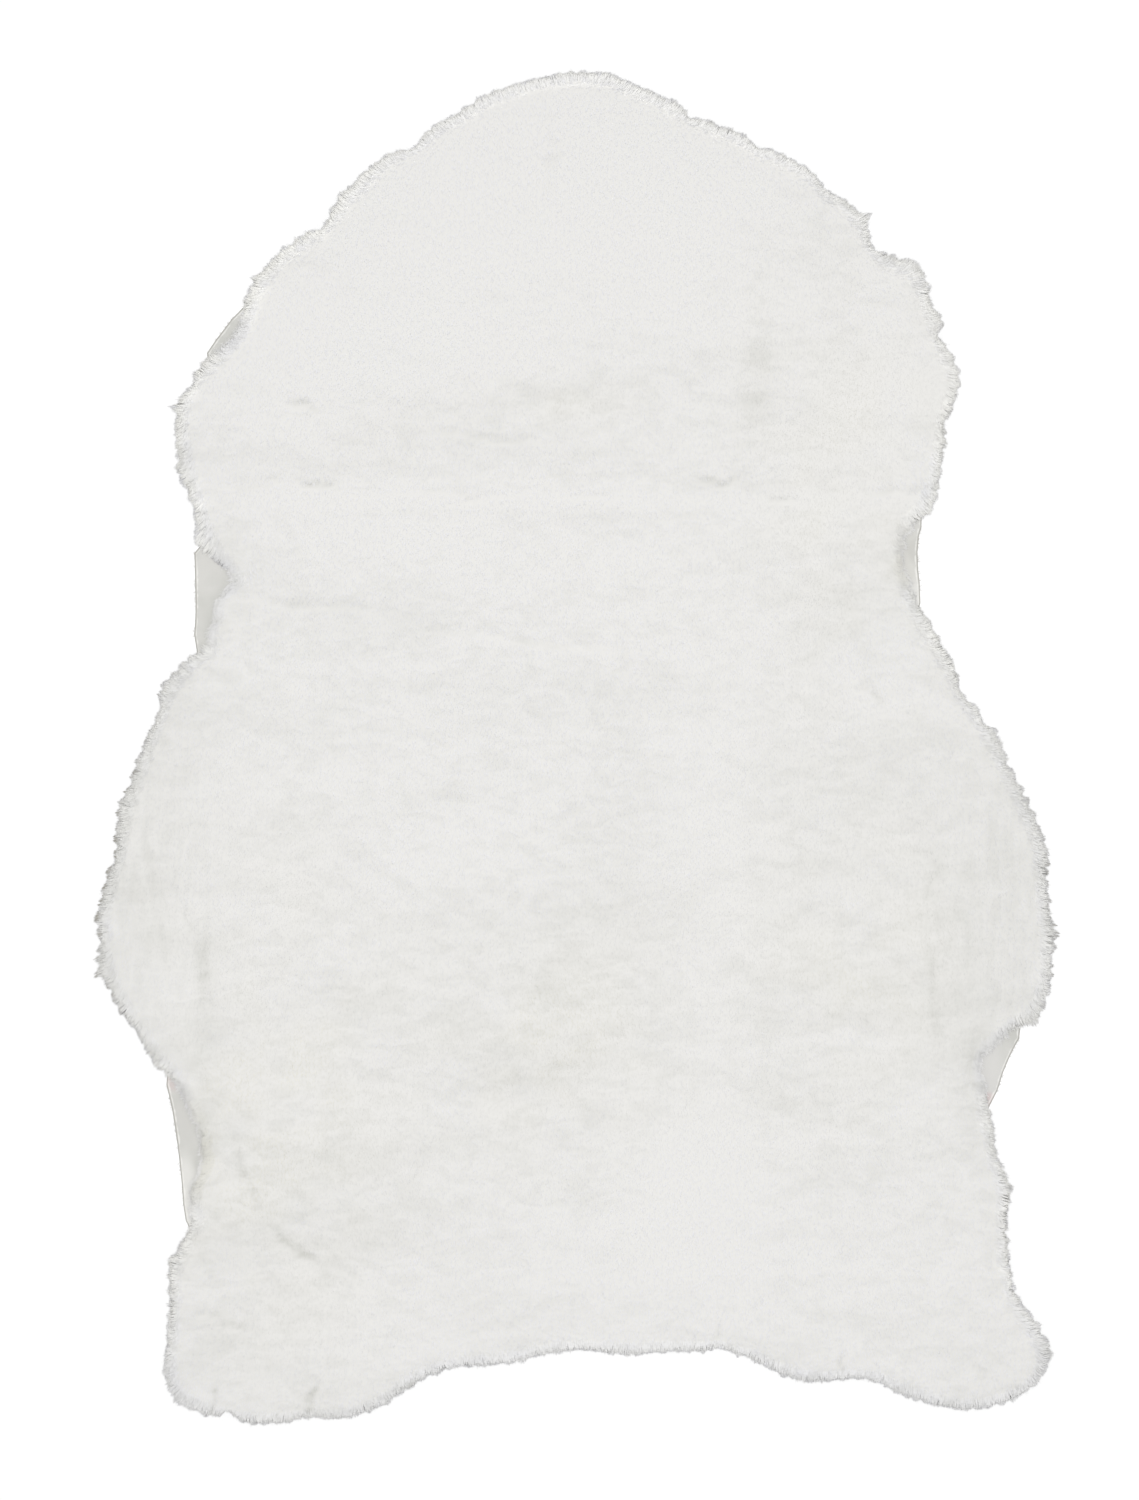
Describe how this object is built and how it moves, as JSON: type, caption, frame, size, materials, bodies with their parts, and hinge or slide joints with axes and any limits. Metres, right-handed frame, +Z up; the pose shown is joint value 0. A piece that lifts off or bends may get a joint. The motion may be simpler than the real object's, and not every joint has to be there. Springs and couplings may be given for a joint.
{
  "type": "sheepskin rug",
  "caption": "A small white sheepskin rug lying flat: a waisted pelt outline with short dense fleece, a rim of drooping locks and narrow bare patches of hide at the leg pits.",
  "frame": {"origin": "on the floor, under the middle of the rug's bounding box", "axes": "+Y along the rug to the crown, where the neck was; +X to the right as seen from above with the crown away from the viewer; +Z up out of the fleece"},
  "size_m": [0.6014, 0.8462, 0.021],
  "materials": {
    "fleece": "short dense white wool pile, soft and matt",
    "hide": "pale grey undyed hide, suede-like below, matt"
  },
  "bodies": {
    "root": {"pelt": "fleece"}
  },
  "joints": []
}
